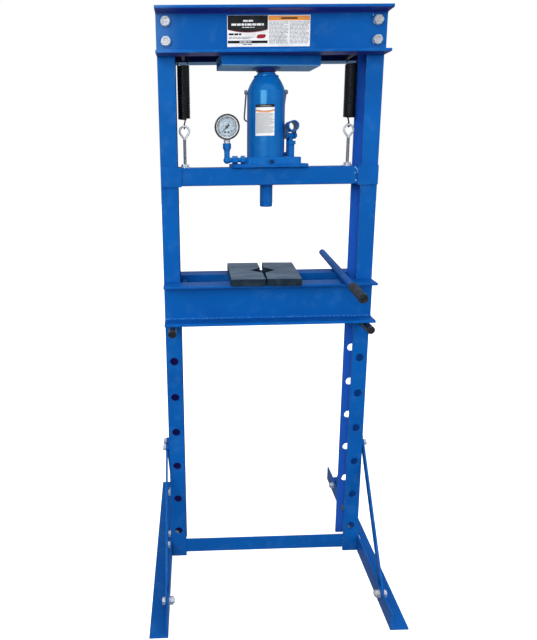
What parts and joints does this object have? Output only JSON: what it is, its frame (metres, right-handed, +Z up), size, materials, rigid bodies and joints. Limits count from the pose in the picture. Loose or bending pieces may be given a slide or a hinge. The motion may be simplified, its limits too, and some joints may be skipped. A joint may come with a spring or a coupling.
{
  "type": "hydraulic shop press",
  "caption": "H-frame floor press: a bottle jack on a sprung crossbeam pushes a ram toward a pinned, height-adjustable bed.",
  "frame": {"origin": "on the floor, midway between the posts and midway between the front and rear foot ends", "axes": "+X to the operator's right along the beams, -Y to the front where the operator stands, +Z up"},
  "size_m": [0.646, 0.6, 1.5],
  "materials": {
    "frame_paint": "glossy blue enamel over rolled steel",
    "jack_paint": "glossy blue enamel over castings and tube",
    "zinc_hardware": "bright zinc plate",
    "ground_steel": "ground and polished steel",
    "dark_plate": "dark slate oxide plate steel",
    "spring_black": "black enamelled spring wire",
    "pin_black": "black oxide steel",
    "rubber_black": "moulded black rubber",
    "gauge_case": "stainless case",
    "dial_white": "printed white dial",
    "lens_glass": "clear gauge glass",
    "needle_black": "black pointer",
    "head_label": null,
    "jack_label": null
  },
  "bodies": {
    "frame": {"left_post": "frame_paint", "right_post": "frame_paint", "head_front_channel": "frame_paint", "head_rear_channel": "frame_paint", "thrust_box": "frame_paint", "jack_seat_ring": "frame_paint", "spring_hanger_pins": "frame_paint", "head_bolts": "zinc_hardware", "head_nuts": "zinc_hardware", "lower_cross_brace": "frame_paint", "left_foot": "frame_paint", "right_foot": "frame_paint", "front_braces": "frame_paint", "rear_braces": "frame_paint", "brace_spacers": "zinc_hardware", "foot_bolts": "zinc_hardware", "foot_nuts": "zinc_hardware", "brace_bolts": "zinc_hardware", "brace_nuts": "zinc_hardware", "head_label": "head_label", "piston_rod": "ground_steel", "piston_seal": "rubber_black", "left_spring": "spring_black", "right_spring": "spring_black"},
    "ram_beam": {"crossbeam": "frame_paint", "guide_plates": "frame_paint", "ram": "frame_paint", "jack_seat_plate": "frame_paint", "jack_base": "jack_paint", "jack_cylinder": "ground_steel", "jack_tank": "jack_paint", "jack_gland_nut": "jack_paint", "oil_plug": "rubber_black", "bail_lugs": "jack_paint", "jack_label": "jack_label", "pump_cylinder": "jack_paint", "pump_link": "jack_paint", "gauge_case": "gauge_case", "gauge_dial": "dial_white", "gauge_lens": "lens_glass", "gauge_stem": "zinc_hardware", "gauge_pipe": "jack_paint", "pipe_nuts": "jack_paint", "eye_bolts": "zinc_hardware", "eye_bolt_nuts": "zinc_hardware"},
    "extension_screw": {"extension_screw": "ground_steel"},
    "gauge_needle": {"gauge_needle": "needle_black"},
    "pump_lever": {"handle_socket": "jack_paint"},
    "pump_plunger": {"pump_plunger": "ground_steel"},
    "release_valve": {"release_valve": "ground_steel"},
    "carry_bail": {"carry_bail": "jack_paint"},
    "bed": {"bed_front_channel": "frame_paint", "bed_rear_channel": "frame_paint", "bed_spacers": "frame_paint"},
    "left_bed_pin": {"left_bed_pin": "pin_black"},
    "right_bed_pin": {"right_bed_pin": "pin_black"},
    "left_bolster": {"left_bolster": "dark_plate"},
    "right_bolster": {"right_bolster": "dark_plate"},
    "jack_handle": {"handle_tube": "frame_paint", "handle_grip": "rubber_black"}
  },
  "joints": [
    {"name": "ram_slide", "type": "slide", "parent": "frame", "child": "ram_beam", "axis": [0, 0, -1], "range_m": [0, 0.15], "stiffness_N_per_m": 2600, "springref_m": -0.1},
    {"name": "bed_height", "type": "slide", "parent": "frame", "child": "bed", "axis": [0, 0, 1], "range_m": [-0.636, 0]},
    {"name": "left_pin_pull", "type": "slide", "parent": "bed", "child": "left_bed_pin", "axis": [0, -1, 0], "range_m": [0, 0.22]},
    {"name": "right_pin_pull", "type": "slide", "parent": "bed", "child": "right_bed_pin", "axis": [0, -1, 0], "range_m": [0, 0.22]},
    {"name": "left_bolster_slide", "type": "slide", "parent": "bed", "child": "left_bolster", "axis": [-1, 0, 0], "range_m": [0, 0.1]},
    {"name": "right_bolster_slide", "type": "slide", "parent": "bed", "child": "right_bolster", "axis": [1, 0, 0], "range_m": [0, 0.08]},
    {"name": "handle_draw", "type": "slide", "parent": "bed", "child": "jack_handle", "axis": [-0.0838, -0.9965, 0], "range_m": [0, 0.7]},
    {"name": "screw_turn", "type": "hinge", "parent": "frame", "child": "extension_screw", "pos_m": [-0.006, 0, 1.33], "axis": [0, 0, 1], "continuous": true},
    {"name": "needle_turn", "type": "hinge", "parent": "ram_beam", "child": "gauge_needle", "pos_m": [-0.108, -0.035, 1.232], "axis": [0, 1, 0], "range_deg": [0, 270]},
    {"name": "valve_turn", "type": "hinge", "parent": "ram_beam", "child": "release_valve", "pos_m": [0.003, -0.048, 1.1468], "axis": [0, -1, 0], "range_deg": [0, 360]},
    {"name": "pump_pivot", "type": "hinge", "parent": "ram_beam", "child": "pump_lever", "pos_m": [0.058, 0.02, 1.211], "axis": [1, 0, 0], "range_deg": [-25, 0]},
    {"name": "plunger_stroke", "type": "slide", "parent": "ram_beam", "child": "pump_plunger", "axis": [0, 0, 1], "range_m": [0, 0.0125]},
    {"name": "bail_swing", "type": "hinge", "parent": "ram_beam", "child": "carry_bail", "pos_m": [-0.006, 0, 1.318], "axis": [1, 0, 0], "range_deg": [0, 90]}
  ],
  "couplings": [
    {"joint": "plunger_stroke", "follows": "pump_pivot", "m_per_rad": -0.028}
  ]
}
